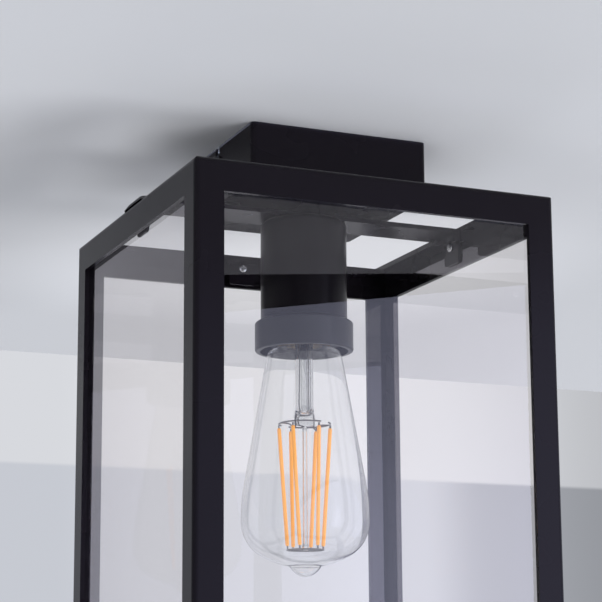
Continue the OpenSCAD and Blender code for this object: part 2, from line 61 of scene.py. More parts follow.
glassLow, glassHigh = span("lamp_glass")
capLow, capHigh = span("lamp_cap")
stemLow, stemHigh = span("lamp_stem")
shellLow, shellHigh = span("socket_shell")
frameTop = span("top_rail_front")[1][2]

cameraSet = dict(
    imageSize=602,
    focalPixels=1802.1,
    axisRow=361,  # image row that the lens axis meets
    place=(-0.35638, -0.82350, -0.27135),
    turn=-0.40662,
    tilt=0.18149,
    roll=0.00593,
    sensor=36,
    clip=(0.01, 50),
)


def newObject(name, data):  # an object at the origin, in the scene
    item = bpy.data.objects.new(name, data)
    bpy.context.scene.collection.objects.link(item)
    return item


# the camera fitted to the photograph: focal length from pixels to the sensor's width, and a shift that puts the lens
# axis on its row
def makeCamera(s):
    data = bpy.data.cameras.new("camera")
    data.sensor_width = s["sensor"]
    data.lens = s["focalPixels"] / s["imageSize"] * s["sensor"]
    data.shift_y = (s["axisRow"] - s["imageSize"] / 2) / s["imageSize"]
    data.clip_start, data.clip_end = s["clip"]
    camera = newObject("camera", data)
    level = Matrix.Rotation(math.pi / 2, 4, "X")  # from looking down to looking along +Y
    aim = Matrix.Rotation(s["turn"], 4, "Z") @ Matrix.Rotation(s["tilt"], 4, "X") @ Matrix.Rotation(s["roll"], 4, "Y")
    camera.matrix_world = Matrix.Translation(s["place"]) @ aim @ level
    bpy.context.scene.camera = camera


makeCamera(cameraSet)
print("stage: camera")


# quads over a grid of points: each joins a point to its next ones along u and v, and wraps where asked
def gridFaces(points, wrapU, wrapV, first):
    nu, nv = points.shape[:2]
    index = first + np.arange(nu * nv).reshape(nu, nv)
    a, b = (index, np.roll(index, -1, 0)) if wrapU else (index[:-1], index[1:])
    if wrapV:
        quads = np.stack([a, np.roll(a, -1, 1), np.roll(b, -1, 1), b], -1)
    else:
        quads = np.stack([a[:, :-1], a[:, 1:], b[:, 1:], b[:, :-1]], -1)
    return quads.reshape(-1, 4)


# one piece over one or more grids; rows that fall on one point close to a pole
def surface(name, grids, wrapU=False, wrapV=True, sharpDeg=40, merge=1e-7):
    grids = [grids] if isinstance(grids, np.ndarray) else grids
    first = np.cumsum([0] + [g.shape[0] * g.shape[1] for g in grids])
    quads = np.concatenate([gridFaces(g, wrapU, wrapV, n) for g, n in zip(grids, first)])
    mesh = bpy.data.meshes.new(name)
    mesh.from_pydata(np.concatenate([g.reshape(-1, 3) for g in grids]).tolist(), [], quads.tolist())
    work = bmesh.new()
    work.from_mesh(mesh)
    bmesh.ops.remove_doubles(work, verts=work.verts, dist=merge)
    bmesh.ops.dissolve_degenerate(work, edges=work.edges, dist=merge)
    bmesh.ops.recalc_face_normals(work, faces=work.faces)
    work.to_mesh(mesh)
    work.free()
    mesh.shade_smooth()
    mesh.set_sharp_from_angle(angle=math.radians(sharpDeg))
    return newObject(name, mesh)


# a profile of radius and height carried round the Z axis: x = r cos a, y = r sin a
def turnedPoints(profile, steps=96):
    profile = np.asarray(profile, float)
    angle = np.linspace(0, 2 * np.pi, steps, endpoint=False)
    r, z = profile[:, :1], profile[:, 1:]
    return np.stack([r * np.cos(angle), r * np.sin(angle), z + 0 * angle], -1)


def arc(centre, radius, startDeg, endDeg, count):  # points on a circle, from one angle to another
    a = np.radians(np.linspace(startDeg, endDeg, count))
    return np.stack([centre[0] + radius * np.cos(a), centre[1] + radius * np.sin(a)], 1)


def smoothStep(x):  # 3x2 - 2x3 between 0 and 1
    x = np.clip(x, 0, 1)
    return x * x * (3 - 2 * x)


# a curve through the points: each stretch is a cubic whose slopes come from the neighbours on each side
def smoothPath(points, count):
    p = np.asarray(points, float)
    p = np.vstack([2 * p[0] - p[1], p, 2 * p[-1] - p[-2]])
    t = np.linspace(0, len(p) - 3 - 1e-9, count)
    k = t.astype(int)
    u = (t - k)[:, None]
    a, b, c, d = p[k], p[k + 1], p[k + 2], p[k + 3]
    return 0.5 * (2 * b + (c - a) * u + (2 * a - 5 * b + 4 * c - d) * u**2 + (3 * b - a - 3 * c + d) * u**3)


# a circle carried along a path, square to it, its radius given per point or once; both ends close on the path
def tubePoints(path, radius, steps=12, flat=1.0):
    path = np.asarray(path, float)
    along = np.gradient(path, axis=0)
    along /= np.linalg.norm(along, axis=1)[:, None]
    across = np.cross(along, np.array([0.31, 0.17, 0.93]))  # a direction that no path here runs along
    across /= np.linalg.norm(across, axis=1)[:, None]
    up = np.cross(along, across)
    angle = np.linspace(0, 2 * np.pi, steps, endpoint=False)
    ring = across[:, None] * np.cos(angle)[:, None] + flat * up[:, None] * np.sin(angle)[:, None]
    points = path[:, None] + np.broadcast_to(radius, len(path))[:, None, None] * ring
    ends = [np.broadcast_to(path[i], points[:1].shape) for i in (0, -1)]
    return np.concatenate([ends[0], points, ends[1]])


# points made along +Z from the origin, moved to a place with +Z turned to the way out
def placed(points, place, out):
    out = np.asarray(out, float)
    side = np.cross([0.0, 0.0, 1.0], out) if abs(out[2]) < 0.9 else np.array([1.0, 0.0, 0.0])
    side /= np.linalg.norm(side)
    up = np.cross(out, side)
    return np.asarray(place) + points[..., :1] * side + points[..., 1:2] * up + points[..., 2:] * out


def nodeTool(tree):  # adds a node and sets its properties, or its sockets by name
    def add(kind, **values):
        node = tree.nodes.new(kind)
        for key, value in values.items():
            if hasattr(node, key):
                setattr(node, key, value)
            else:
                node.inputs[key.replace("_", " ")].default_value = value
        return node
    return add


def feed(tree, value, place):  # links a socket to the place, or sets a constant there
    if isinstance(value, bpy.types.NodeSocket):
        tree.links.new(value, place)
    else:
        place.default_value = value


def mathTool(tree):  # adds a Math node over numbers or sockets, and gives its result
    def calc(operation, *values, use_clamp=False):
        node = nodeTool(tree)("ShaderNodeMath", operation=operation, use_clamp=use_clamp)
        for value, place in zip(values, node.inputs):
            feed(tree, value, place)
        return node.outputs[0]
    return calc


def rampTool(tree):  # a soft step: before up to the span's start, after from its end, and 3x2 - 2x3 between
    def ramp(value, ends, before=0.0, after=1.0):
        node = nodeTool(tree)("ShaderNodeMapRange", interpolation_type="SMOOTHSTEP", From_Min=ends[0],
                              From_Max=ends[1], To_Min=before, To_Max=after)
        feed(tree, value, node.inputs["Value"])
        return node.outputs["Result"]
    return ramp


def mixTool(tree):  # mixes two shaders by a share, 0 for the first and 1 for the second
    def mix(share, first, second):
        node = tree.nodes.new("ShaderNodeMixShader")
        for value, place in zip((share, first, second), node.inputs):
            feed(tree, value, place)
        return node.outputs["Shader"]
    return mix


def newMaterial(name):  # a material with its tree
    material = bpy.data.materials.new(name)
    material.use_nodes = True
    return material, material.node_tree


def bareMaterial(name):  # a material with its tree, empty but for the output
    material, tree = newMaterial(name)
    tree.nodes.remove(tree.nodes["Principled BSDF"])
    return material, tree


def showShader(tree, shader):  # what the material puts out
    tree.links.new(shader, tree.nodes["Material Output"].inputs["Surface"])


def makeGroup(name, inputs, outputs):  # an empty node group of numbers in and numbers out
    tree = bpy.data.node_groups.new(name, "ShaderNodeTree")
    for label, value in inputs:
        socket = tree.interface.new_socket(label, in_out="INPUT", socket_type="NodeSocketFloat")
        socket.default_value = value
    for label in outputs:
        tree.interface.new_socket(label, in_out="OUTPUT", socket_type="NodeSocketFloat")
    return tree, tree.nodes.new("NodeGroupInput"), tree.nodes.new("NodeGroupOutput")


# fine grain and slow drift over a surface: Height for the bump, Drift from 0 to 1 for colour and roughness
def grainGroup():
    tree, given, out = makeGroup("surfaceGrain", [("Grain Scale", 1400.0), ("Drift Scale", 18.0)], ["Height", "Drift"])
    add, link = nodeTool(tree), tree.links.new
    where = add("ShaderNodeTexCoord")
    for label, scale, detail, rough in (("Height", "Grain Scale", 2.0, 0.5), ("Drift", "Drift Scale", 3.0, 0.55)):
        noise = add("ShaderNodeTexNoise", Detail=detail, Roughness=rough)
        link(where.outputs["Object"], noise.inputs["Vector"])
        link(given.outputs[scale], noise.inputs["Scale"])
        link(noise.outputs["Fac"], out.inputs[label])
    return tree


grain = grainGroup()


# a surface with grain: its colour and roughness drift about their values, and a bump breaks up its gloss
def finish(name, color, shade=0.12, roughness=0.45, roughDrift=0.06, bump=0.03, bumpDepth=0.02 * mm,
           grainScale=1400.0, driftScale=18.0, **principled):
    material, tree = newMaterial(name)
    add, link = nodeTool(tree), tree.links.new
    shader = tree.nodes["Principled BSDF"]
    for key, value in principled.items():
        shader.inputs[key.replace("_", " ")].default_value = value
    texture = add("ShaderNodeGroup", node_tree=grain, Grain_Scale=grainScale, Drift_Scale=driftScale)
    tone = add("ShaderNodeMix", data_type="RGBA")
    tone.inputs[6].default_value = (*[c * (1 - shade) for c in color], 1)  # A and B as colours
    tone.inputs[7].default_value = (*[c * (1 + shade) for c in color], 1)
    link(texture.outputs["Drift"], tone.inputs[0])
    link(tone.outputs[2], shader.inputs["Base Color"])
    rough = add("ShaderNodeMapRange", To_Min=roughness - roughDrift, To_Max=roughness + roughDrift)
    link(texture.outputs["Drift"], rough.inputs["Value"])
    link(rough.outputs["Result"], shader.inputs["Roughness"])
    relief = add("ShaderNodeBump", Strength=bump, Distance=bumpDepth)
    link(texture.outputs["Height"], relief.inputs["Height"])
    link(relief.outputs["Normal"], shader.inputs["Normal"])
    return material


paneSet = dict(
    tint=(0.998, 0.99, 0.982),
    mirror=(0.79, 0.76, 0.795),
    ior=1.5,
    bothFaces=1.85,  # both faces of the sheet mirror, and the front one shows it
)


def paneMaterial(s):  # clear sheet glass as a thin pane: it mirrors by Fresnel and passes the rest straight on
    material, tree = bareMaterial("paneGlass")
    add, calc = nodeTool(tree), mathTool(tree)
    clear = add("ShaderNodeBsdfTransparent", Color=(*s["tint"], 1))
    mirror = add("ShaderNodeBsdfGlossy", Color=(*s["mirror"], 1), Roughness=0.0)
    share = add("ShaderNodeFresnel", IOR=s["ior"]).outputs["Fac"]
    front = calc("SUBTRACT", 1.0, add("ShaderNodeNewGeometry").outputs["Backfacing"])
    use = calc("MULTIPLY", calc("MULTIPLY", share, s["bothFaces"]), front)
    showShader(tree, mixTool(tree)(use, clear.outputs["BSDF"], mirror.outputs["BSDF"]))
    return material


blownSet = dict(color=(0.985, 0.99, 0.99), ior=1.5, shadow=(0.97, 0.975, 0.975))


def blownGlass(s):  # clear blown glass that bends light, and lets the lamps' light through to what it holds
    material, tree = newMaterial("blownGlass")
    shader = tree.nodes["Principled BSDF"]
    shader.inputs["Base Color"].default_value = (*s["color"], 1)
    shader.inputs["Roughness"].default_value = 0.0
    shader.inputs["IOR"].default_value = s["ior"]
    shader.inputs["Transmission Weight"].default_value = 1.0
    add = nodeTool(tree)
    clear = add("ShaderNodeBsdfTransparent", Color=(*s["shadow"], 1))
    shadowRay = add("ShaderNodeLightPath").outputs["Is Shadow Ray"]
    showShader(tree, mixTool(tree)(shadowRay, shader.outputs["BSDF"], clear.outputs["BSDF"]))
    return material


finishes = {
    "black_powder_coat": finish("powderCoat", (0.0058, 0.0047, 0.0074), roughness=0.27, bump=0.1,
                                grainScale=1100.0, Specular_IOR_Level=0.125, Specular_Tint=(1.0, 0.93, 1.0, 1)),
    "black_sleeve": finish("sleevePaint", (0.0045, 0.0036, 0.0058), roughness=0.3, bump=0.02, Specular_IOR_Level=0.15),
    "black_moulding": finish("blackMoulding", (0.013, 0.013, 0.015), roughness=0.36, bump=0.05,
                             grainScale=2600.0, Specular_IOR_Level=0.3),
    "black_zinc": finish("blackZinc", (0.13, 0.13, 0.135), roughness=0.26, roughDrift=0.08, bump=0.08,
                         grainScale=2200.0, driftScale=120.0, Metallic=0.9),
    "zinc_plate": finish("zincPlate", (0.78, 0.78, 0.77), roughness=0.24, roughDrift=0.06, bump=0.1,
                         grainScale=2200.0, driftScale=90.0, Metallic=1.0),
    "brass_contacts": finish("plainBrass", (0.66, 0.47, 0.2), roughness=0.32, bump=0.1, driftScale=60.0, Metallic=1.0),
    "brass_cap": finish("capBrass", (0.74, 0.57, 0.3), roughness=0.26, bump=0.1, driftScale=60.0, Metallic=1.0),
    "solder": finish("solder", (0.5, 0.5, 0.5), roughness=0.45, bump=0.3, grainScale=900.0, Metallic=1.0),
    "black_glass": finish("insulator", (0.012, 0.012, 0.014), roughness=0.15, bump=0.05),
    "white_moulding": finish("whiteMoulding", (0.72, 0.72, 0.68), shade=0.04, roughness=0.42, bump=0.1),
    "pane_glass": paneMaterial(paneSet),
    "lamp_glass": blownGlass(blownSet),
    "dark_wire": finish("darkWire", (0.25, 0.25, 0.26), roughness=0.35, bump=0.05, Metallic=1.0),
    # the lamp's strips: an amber coat plus a weak light of its own, a painted glow on the unlit lamp that stands in for
    # light passing through the coat
    "amber_strip": finish("amberCoatAndGlow", (1.0, 0.44, 0.05), shade=0.05, roughness=0.5, bump=0.2, driftScale=140.0,
                          Emission_Color=(1.0, 0.4, 0.03, 1), Emission_Strength=0.32),
}
slotOf = {row["node"]: row["material_slot"] for row in frame["record"]["subparts"]}


for name, node in nodes.items():
    for slot in node.material_slots:
        slot.material = finishes[slotOf[name]]
print("stage: finishes on the frame's nodes")


# a piece in one of the record's finishes, hung on a body
def addsTo(piece, slotName, body):
    piece.data.materials.append(finishes[slotName])
    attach(piece, body)


# a piece in the place of a frame's node, in that node's finish
def standsFor(piece, nodeName, body):
    addsTo(piece, slotOf[nodeName], body)
    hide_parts(nodeName)


envelope = dict(
    wall=0.35 * mm,
    crownR=45 * mm,
    cornerR=19.8 * mm,
    waistR=110 * mm,
    flareDeg=10.1,
    tipH=4.5 * mm,
    tipR=8.0 * mm,
    neckR=12.35 * mm,
    neckIn=6.5 * mm,
    shoulderH=5 * mm,
    tipClear=1.05,  # how far beyond the tip's radius the crown begins
    steps=160,
)


# crown arc, corner arc, waist arc, straight flare and a smooth shoulder into the neck, inset by a wall
def envelopeLine(s, inset):
    bulbR = glassHigh[0]
    crownZ = glassLow[2] + s["tipH"]
    neckTop = glassHigh[2] - crownZ
    neckH = neckTop - s["neckIn"]
    cornerX = bulbR - s["cornerR"]
    reach = s["crownR"] - s["cornerR"]
    cornerH = s["crownR"] - math.sqrt(reach**2 - cornerX**2)
    crownDeg = math.degrees(math.asin(cornerX / reach))
    waistX = bulbR - s["waistR"]
    flare = math.radians(s["flareDeg"])
    flareX = waistX + s["waistR"] * math.cos(flare)
    flareH = cornerH + s["waistR"] * math.sin(flare)
    crown = arc((0, s["crownR"]), s["crownR"] - inset, -90, -90 + crownDeg, 24)
    corner = arc((cornerX, cornerH), s["cornerR"] - inset, -90 + crownDeg, 0, 40)[1:]
    waist = arc((waistX, cornerH), s["waistR"] - inset, 0, s["flareDeg"], 16)[1:]
    h = np.linspace(flareH, neckH, 60)[1:]
    straight = flareX - (h - flareH) * math.tan(flare)
    blend = smoothStep((h - (neckH - s["shoulderH"])) / s["shoulderH"])
    upper = np.stack([straight * (1 - blend) + s["neckR"] * blend - inset, h], 1)
    line = np.concatenate([crown, corner, waist, upper, [[s["neckR"] - inset, neckTop]]])
    line[:, 1] += crownZ
    return line


# outer line, with the drawn-off tip as a small hollow cap on the crown, then the inner line back down
def makeEnvelope(s):
    outer, inner = envelopeLine(s, 0), envelopeLine(s, s["wall"])
    ball = (s["tipR"] ** 2 + s["tipH"] ** 2) / (2 * s["tipH"])
    r = np.linspace(0, s["tipR"], 14)
    rise = (s["crownR"] - math.sqrt(s["crownR"] ** 2 - s["tipR"] ** 2)) * (r / s["tipR"]) ** 2
    tip = np.stack([r, glassLow[2] + ball - np.sqrt(ball**2 - r**2) + rise], 1)
    hollow = tip * [1 - s["wall"] / s["tipR"], 1] + [0, s["wall"]]
    outer = np.concatenate([tip, outer[outer[:, 0] > s["tipR"] * s["tipClear"]]])
    inner = np.concatenate([hollow, inner[inner[:, 0] > s["tipR"] * s["tipClear"]]])
    outer[0, 0] = inner[0, 0] = 0
    return surface("lampEnvelope", turnedPoints(np.concatenate([outer, inner[::-1]]), s["steps"]), sharpDeg=50)


standsFor(makeEnvelope(envelope), "lamp_glass", "lamp")
print("stage: lamp envelope")

thread = dict(
    pitch=25.4 * mm / 7,  # seven turns to the inch
    crest=13.05 * mm,
    root=12.35 * mm,
    play=0.35 * mm,  # between the lamp's thread and the socket's
    capWall=0.4 * mm,
    shellWall=0.5 * mm,
    skirt=3.2 * mm,  # plain height at the cap's mouth
    skirtEase=1.2 * mm,
    lip=1 * mm,  # nearer the mouth than this the inner skin lies level with the outer one
    coneH=3 * mm,
    runOutFrom=5 * mm,  # where the thread starts to fade, below the cap's top
    runOutH=2 * mm,
    coneIn=1.7 * mm,  # the cone's top, in from the skirt's radius
    coneBoreIn=2.05 * mm,
    mouthH=1.2 * mm,  # plain height at the shell's mouth
    mouthEase=1.5 * mm,
    steps=96,
)


# a rounded right-handed thread: mean radius plus half its depth times cos(angle - 2 pi z / pitch)
def threadRadius(s, angle, z):
    swing = np.cos(angle - 2 * np.pi * z / s["pitch"])
    return (s["crest"] + s["root"]) / 2 + (s["crest"] - s["root"]) / 2 * swing


def roundGrid(radius, z, angle):  # x = r cos a, y = r sin a, for a radius per row and angle
    radius, z, angle = np.broadcast_arrays(radius, z, angle)
    return np.stack([radius * np.cos(angle), radius * np.sin(angle), z], -1)


# plain skirt, thread, and a cone up to the insulator; the inner skin is the outer one less the wall
def makeCap(s):
    angle = np.linspace(0, 2 * np.pi, s["steps"], endpoint=False)[None]
    z = np.linspace(capLow[2], capHigh[2] - s["coneH"], 84)[:, None]
    cut = smoothStep((z - capLow[2] - s["skirt"]) / s["skirtEase"])
    runOut = smoothStep((z - capHigh[2] + s["runOutFrom"]) / s["runOutH"])
    ridge = threadRadius(s, angle, z) * (1 - runOut) + s["root"] * runOut
    skin = capHigh[0] * (1 - cut) + ridge * cut
    coneR = capHigh[0] - np.array([s["coneIn"], s["coneBoreIn"], s["coneBoreIn"]])
    coneZ = capHigh[2] - np.array([0, 0, s["capWall"] * 2])
    grid = np.concatenate([
        roundGrid(skin, z, angle),
        roundGrid(coneR[:, None], coneZ[:, None], angle),
        roundGrid(skin[::-1] - s["capWall"], z[::-1] - s["capWall"] * (z[::-1] > capLow[2] + s["lip"]), angle),
    ])
    return surface("lampCap", grid, wrapU=True, sharpDeg=50)


# the socket's shell follows the lamp's thread at a little play, and its mouth opens to a plain ring
def makeSocketShell(s):
    angle = np.linspace(0, 2 * np.pi, s["steps"], endpoint=False)[None]
    z = np.linspace(shellLow[2], shellHigh[2], 90)[:, None]
    mouth = 1 - smoothStep((z - shellLow[2] - s["mouthH"]) / s["mouthEase"])
    wideR = shellHigh[0] - s["shellWall"]
    inside = (threadRadius(s, angle, z) + s["play"]) * (1 - mouth) + wideR * mouth
    grid = np.concatenate([roundGrid(inside + s["shellWall"], z, angle), roundGrid(inside[::-1], z[::-1], angle)])
    return surface("socketShell", grid, wrapU=True, sharpDeg=50)


standsFor(makeCap(thread), "lamp_cap", "lamp")
standsFor(makeSocketShell(thread), "socket_shell", "lantern")
print("stage: cap and socket threads")

stem = dict(
    tubeR=4.5 * mm,
    wall=1.0 * mm,
    flareH=9 * mm,
    pinchDrop=67.5 * mm,  # from the lamp's contact to the foot of the pinch
    pinchH=7 * mm,
    pinchWide=5.5 * mm,
    pinchThin=1.7 * mm,
    # mm: half width, half thickness and height where the pinch rounds off and narrows to the rod
    foot=[[5.5, 1.7, 0.8], [5.2, 1.53, 0.2], [4.3, 1.36, 0], [1.875, 1.375, -0.2], [1.25, 1.25, -1]],
    pressUp=3 * mm,  # how far above the pinch the tube starts to flatten
    pressH=6 * mm,
    rodR=1.25 * mm,
    beadR=1.8 * mm,
    beadDeg=130,
    rodEnd=3.4 * mm,  # where the rod meets its bead, above the bead's end
    rodFrom=2 * mm,  # and where it starts, below the pinch
    domeDrop=1 * mm,  # from the pinch's top to the bore's end
    domeH=3 * mm,
    boreGap=1 * mm,  # between the straight bore and its flare, and its dome
    pipeGap=1.2 * mm,
    pipeR=2.0 * mm,  # the inner pipe that the lamp was pumped through
    pipeWall=0.5 * mm,
    pipeUp=2 * mm,  # how far it stands out of the flare
    steps=64,
)
pinchLow = span("lamp_contact")[1][2] - stem["pinchDrop"]


# rows of ellipses, x = a cos t and y = b sin t: up from the rod's end bead over the flat pinch, the tube and its
# flare, then down the bore to its dome
def makeStem(s):
    rimZ, rimR, endZ = stemHigh[2], stemHigh[0], stemLow[2]
    boreR, pressTop = s["tubeR"] - s["wall"], pinchLow + s["pinchH"] + s["pressUp"]
    domeZ = pinchLow + s["pinchH"] - s["domeDrop"]
    t = np.linspace(0, 1, 14)

    def rounds(radius, z):  # round rows
        return np.stack([radius + 0 * z, radius + 0 * z, z], 1)

    def flared(tubeR):  # the flare widens from the tube by the cube of its height
        return rounds(tubeR + (rimR - s["tubeR"]) * (1 - t) ** 3, rimZ - s["flareH"] * t)

    u = smoothStep(t)
    press = np.stack([
        s["tubeR"] + (s["pinchWide"] - s["tubeR"]) * u,
        s["tubeR"] + (s["pinchThin"] - s["tubeR"]) * u,
        pressTop - t * s["pressH"],
    ], 1)[1:]
    foot = np.array(s["foot"]) * mm + [0, 0, pinchLow]
    a = np.radians(np.linspace(s["beadDeg"], 0, 12))
    d = np.radians(np.linspace(0, 90, 10))
    tube = rounds(s["tubeR"], np.linspace(rimZ - s["flareH"], pressTop, 12)[1:])
    rod = rounds(s["rodR"], np.linspace(pinchLow - s["rodFrom"], endZ + s["rodEnd"], 10))
    bead = rounds(s["beadR"] * np.sin(a), endZ + s["beadR"] * (1 - np.cos(a)))
    bore = rounds(boreR, np.linspace(rimZ - s["flareH"] - s["boreGap"], domeZ + s["domeH"] + s["boreGap"], 10))
    dome = rounds(boreR * np.cos(d), domeZ + s["domeH"] * (1 - np.sin(d)))
    outside = np.concatenate([flared(s["tubeR"]), tube, press, foot, rod, bead])[::-1]
    rows = np.concatenate([outside, flared(boreR), bore, dome])
    angle = np.linspace(0, 2 * np.pi, s["steps"], endpoint=False)
    grid = np.stack([rows[:, :1] * np.cos(angle), rows[:, 1:2] * np.sin(angle), rows[:, 2:] + 0 * angle], -1)
    pipeLow, pipeHigh, pipeBore = domeZ + s["pipeGap"], rimZ + s["pipeUp"], s["pipeR"] - s["pipeWall"]
    pipeLine = [[s["pipeR"], pipeLow], [s["pipeR"], pipeHigh], [pipeBore, pipeHigh], [pipeBore, pipeLow]]
    return grid, turnedPoints(pipeLine, s["steps"])


stemGrid, pipeGrid = makeStem(stem)
standsFor(surface("stemTube", stemGrid, sharpDeg=60), "lamp_stem", "lamp")
addsTo(surface("stemPipe", pipeGrid, wrapU=True, sharpDeg=60), "lamp_glass", "lamp")
print("stage: lamp stem")

mount = dict(
    count=6,
    topR=12.9 * mm,
    lowR=9.1 * mm,
    firstDeg=40,
    twistDeg=9,
    length=59.5 * mm,
    stripR=0.95 * mm,
    tabR=0.55 * mm,
    wireR=0.4 * mm,
    leadR=0.3 * mm,
    endShare=0.016,  # share of a strip's length that each rounded end takes
    uneven=0.018,  # of a strip's radius, as a product of two waves along it
    waves=(61, 23),
    shift=2.1,  # of the first wave from one strip to the next
    stripDrop=1 * mm,  # from the pinch's foot to the strips' tops
    tabOut=1.3,  # mm that a tab stands out of the strip, and as far into it
    tabFlat=0.35,
    ringUp=1 * mm,
    arcDeg=(-85, 65),  # from the first strip, where a half ring starts and ends
    # mm: distance from the axis, and height over the pinch's foot
    lead=[[4.6, 6.0], [4.9, 3.0], [5.0, 0.4], [5.2, -1.0], [6.2, -1.3], [7.6, 0.2], [9.4, 0.9], [12.9, 1.0]],
    inner=[[2.9, 0], [2.6, 0.4], [2.4, -0.4]],  # mm: distance from the axis, and how far the wire leans sideways
    innerUp=(6 * mm, 16 * mm),  # heights of its first two points; the last is at the stem's top
    spokeDegs=(0, 120, 240),
    spokeFrom=1.5 * mm,
)


def around(radius, deg, z):  # a point at a radius and an angle round the lamp's axis
    return np.array([radius * math.cos(math.radians(deg)), radius * math.sin(math.radians(deg)), z])


# a lit strip: a straight rod whose radius rises to full over its rounded ends, with a slight unevenness along it
def makeStrip(s, n):
    deg = s["firstDeg"] + n * 360 / s["count"]
    top = around(s["topR"], deg, pinchLow - s["stripDrop"])
    low = around(s["lowR"], deg + s["twistDeg"], pinchLow - s["stripDrop"] - s["length"])
    end = s["endShare"]
    middle = np.linspace(end, 1 - end, 60)[1:-1]
    t = np.concatenate([np.linspace(0, end, 9)[1:], middle, np.linspace(1 - end, 1, 9)[:-1]])
    near = np.minimum(np.minimum(t, 1 - t) / end, 1)
    swing = s["uneven"] * np.sin(t * s["waves"][0] + n * s["shift"]) * np.sin(t * s["waves"][1] + n)
    radius = s["stripR"] * np.sqrt(1 - (1 - near) ** 2) * (1 + swing)
    strip = surface("litStrip%d" % (n + 1), tubePoints(top + t[:, None] * (low - top), radius, 16), sharpDeg=80)
    way = (low - top) / np.linalg.norm(low - top)
    reach = np.linspace(-s["tabOut"], s["tabOut"], 8)[:, None] * mm
    return strip, [tubePoints(point + way * reach, s["tabR"], 8, flat=s["tabFlat"]) for point in (top, low)]


tabGrids = []
for n in range(mount["count"]):
    strip, tabs = makeStrip(mount, n)
    standsFor(strip, "lamp_strip_%d" % (n + 1), "lamp")
    tabGrids += tabs
addsTo(surface("stripTabs", tabGrids, sharpDeg=60), "dark_wire", "lamp")


# two half rings on leads that come out of the pinch, and the leads' inner ends up the stem's bore
def makeWires(s):
    z = pinchLow + s["ringUp"]
    grids = []
    for turn in (0, 180):
        deg = np.linspace(*[s["firstDeg"] + d for d in s["arcDeg"]], 60) + turn
        ring = np.array([around(s["topR"], d, z) for d in deg])
        c, k = math.cos(math.radians(turn)), math.sin(math.radians(turn))
        lead = np.array(s["lead"]) * mm
        lead = np.stack([lead[:, 0] * c, lead[:, 0] * k, pinchLow + lead[:, 1]], 1)
        inner = np.array(s["inner"]) * mm
        inner = np.stack([inner[:, 0] * c, inner[:, 1], [pinchLow + h for h in s["innerUp"]] + [stemHigh[2]]], 1)
        grids += [
            tubePoints(ring, s["wireR"], 10),
            tubePoints(smoothPath(lead, 40), s["wireR"], 10),
            tubePoints(smoothPath(inner, 24), s["leadR"], 8),
        ]
    return grids


# the lower ring at a radius round the axis, with three spokes to the rod's end
def makeStripRing(s):
    low, high = span("lamp_strip_ring")
    z = (low[2] + high[2]) / 2
    a = np.linspace(0, 2 * np.pi, 72, endpoint=False)[:, None]
    b = np.linspace(0, 2 * np.pi, 10, endpoint=False)
    hoopR = s["lowR"] + s["wireR"] * np.cos(b)
    hoop = np.stack([hoopR * np.cos(a), hoopR * np.sin(a), z + s["wireR"] * np.sin(b) + 0 * a], -1)
    hoop = np.concatenate([hoop, hoop[:1]])
    out = np.linspace(s["spokeFrom"], s["lowR"], 6)
    spokes = [tubePoints(np.array([around(r, d, z) for r in out]), s["wireR"], 10) for d in s["spokeDegs"]]
    return [hoop] + spokes


standsFor(surface("supportWires", makeWires(mount), sharpDeg=60), "lamp_support_wires", "lamp")
standsFor(surface("stripRing", makeStripRing(mount), sharpDeg=60), "lamp_strip_ring", "lamp")
print("stage: lit strips and their wires")

screwSet = dict(
    steps=96,
    armWide=0.13,  # half width of a recess arm, as a share of the head's radius
    armFlare=(1.25, 0.5),  # an arm's width at the middle, and how much it loses out to the rim
    armLong=0.62,
    sink=0.6,  # depth of the recess, as a share of the head's height
    crown=0.14,
    edge=0.45,
    soft=0.07,  # how softly the recess's edges fall, as a share of the head's radius
    threadDepth=0.13,  # as a share of the shank's radius
    clip=dict(headH=1.8 * mm, shankR=1.5 * mm, pitch=0.5 * mm),
    side=dict(headH=2.4 * mm, shankR=2 * mm, pitch=0.7 * mm),
    lowerHeadR=2.4 * mm,
    rimIn=0.98,  # the head's flat underside, as a share of its radius
    rimUp=0.05 * mm,
    endR=0.8,  # the shank's end, as a share of its radius
)


# rows from the head's crown over its round edge and down the shank; two arms of the recess cross at the middle
def screwPoints(s, headR, shankLen, headH, shankR, pitch):
    angle = np.linspace(0, 2 * np.pi, s["steps"], endpoint=False)[None]
    edge = s["edge"] * headH
    r = np.linspace(0, 1, 26)[:, None] * (headR - edge)
    x, y = r * np.cos(angle) / headR, r * np.sin(angle) / headR
    middle, loss = s["armFlare"]

    def arm(along, across):  # 1 inside an arm that narrows outwards, 0 outside
        wide = smoothStep((s["armWide"] * (middle - loss * np.abs(along)) - np.abs(across)) / s["soft"] + 0.5)
        return wide * smoothStep((s["armLong"] - np.abs(along)) / (2 * s["soft"]))

    sunk = np.maximum(arm(x, y), arm(y, x)) * s["sink"] * headH
    top = headH * (1 - s["crown"] * (r / headR) ** 2) - sunk
    a = np.radians(np.linspace(80, 0, 9))[:, None]
    brim = headH * (1 - s["crown"]) - edge
    over = roundGrid(headR - edge + edge * np.cos(a), brim + edge * np.sin(a), angle)
    underR = np.array([headR, headR * s["rimIn"], shankR])[:, None]
    under = roundGrid(underR, np.array([s["rimUp"], 0, 0])[:, None], angle)
    z = np.linspace(0, 1, max(12, int(shankLen / pitch * 8)))[:, None] * shankLen
    fade = smoothStep(z / pitch) * smoothStep((shankLen - z) / pitch)
    ridge = 0.5 - 0.5 * np.cos(angle + 2 * np.pi * z / pitch)
    shank = roundGrid(shankR * (1 - s["threadDepth"] * ridge * fade), -z, angle)
    end = roundGrid(np.array([shankR * s["endR"], 0])[:, None], -shankLen, angle)
    return np.concatenate([roundGrid(r, top, angle), over, under, shank, end])


sideWays = {"front": (0, -1), "right": (1, 0), "back": (0, 1), "left": (-1, 0)}


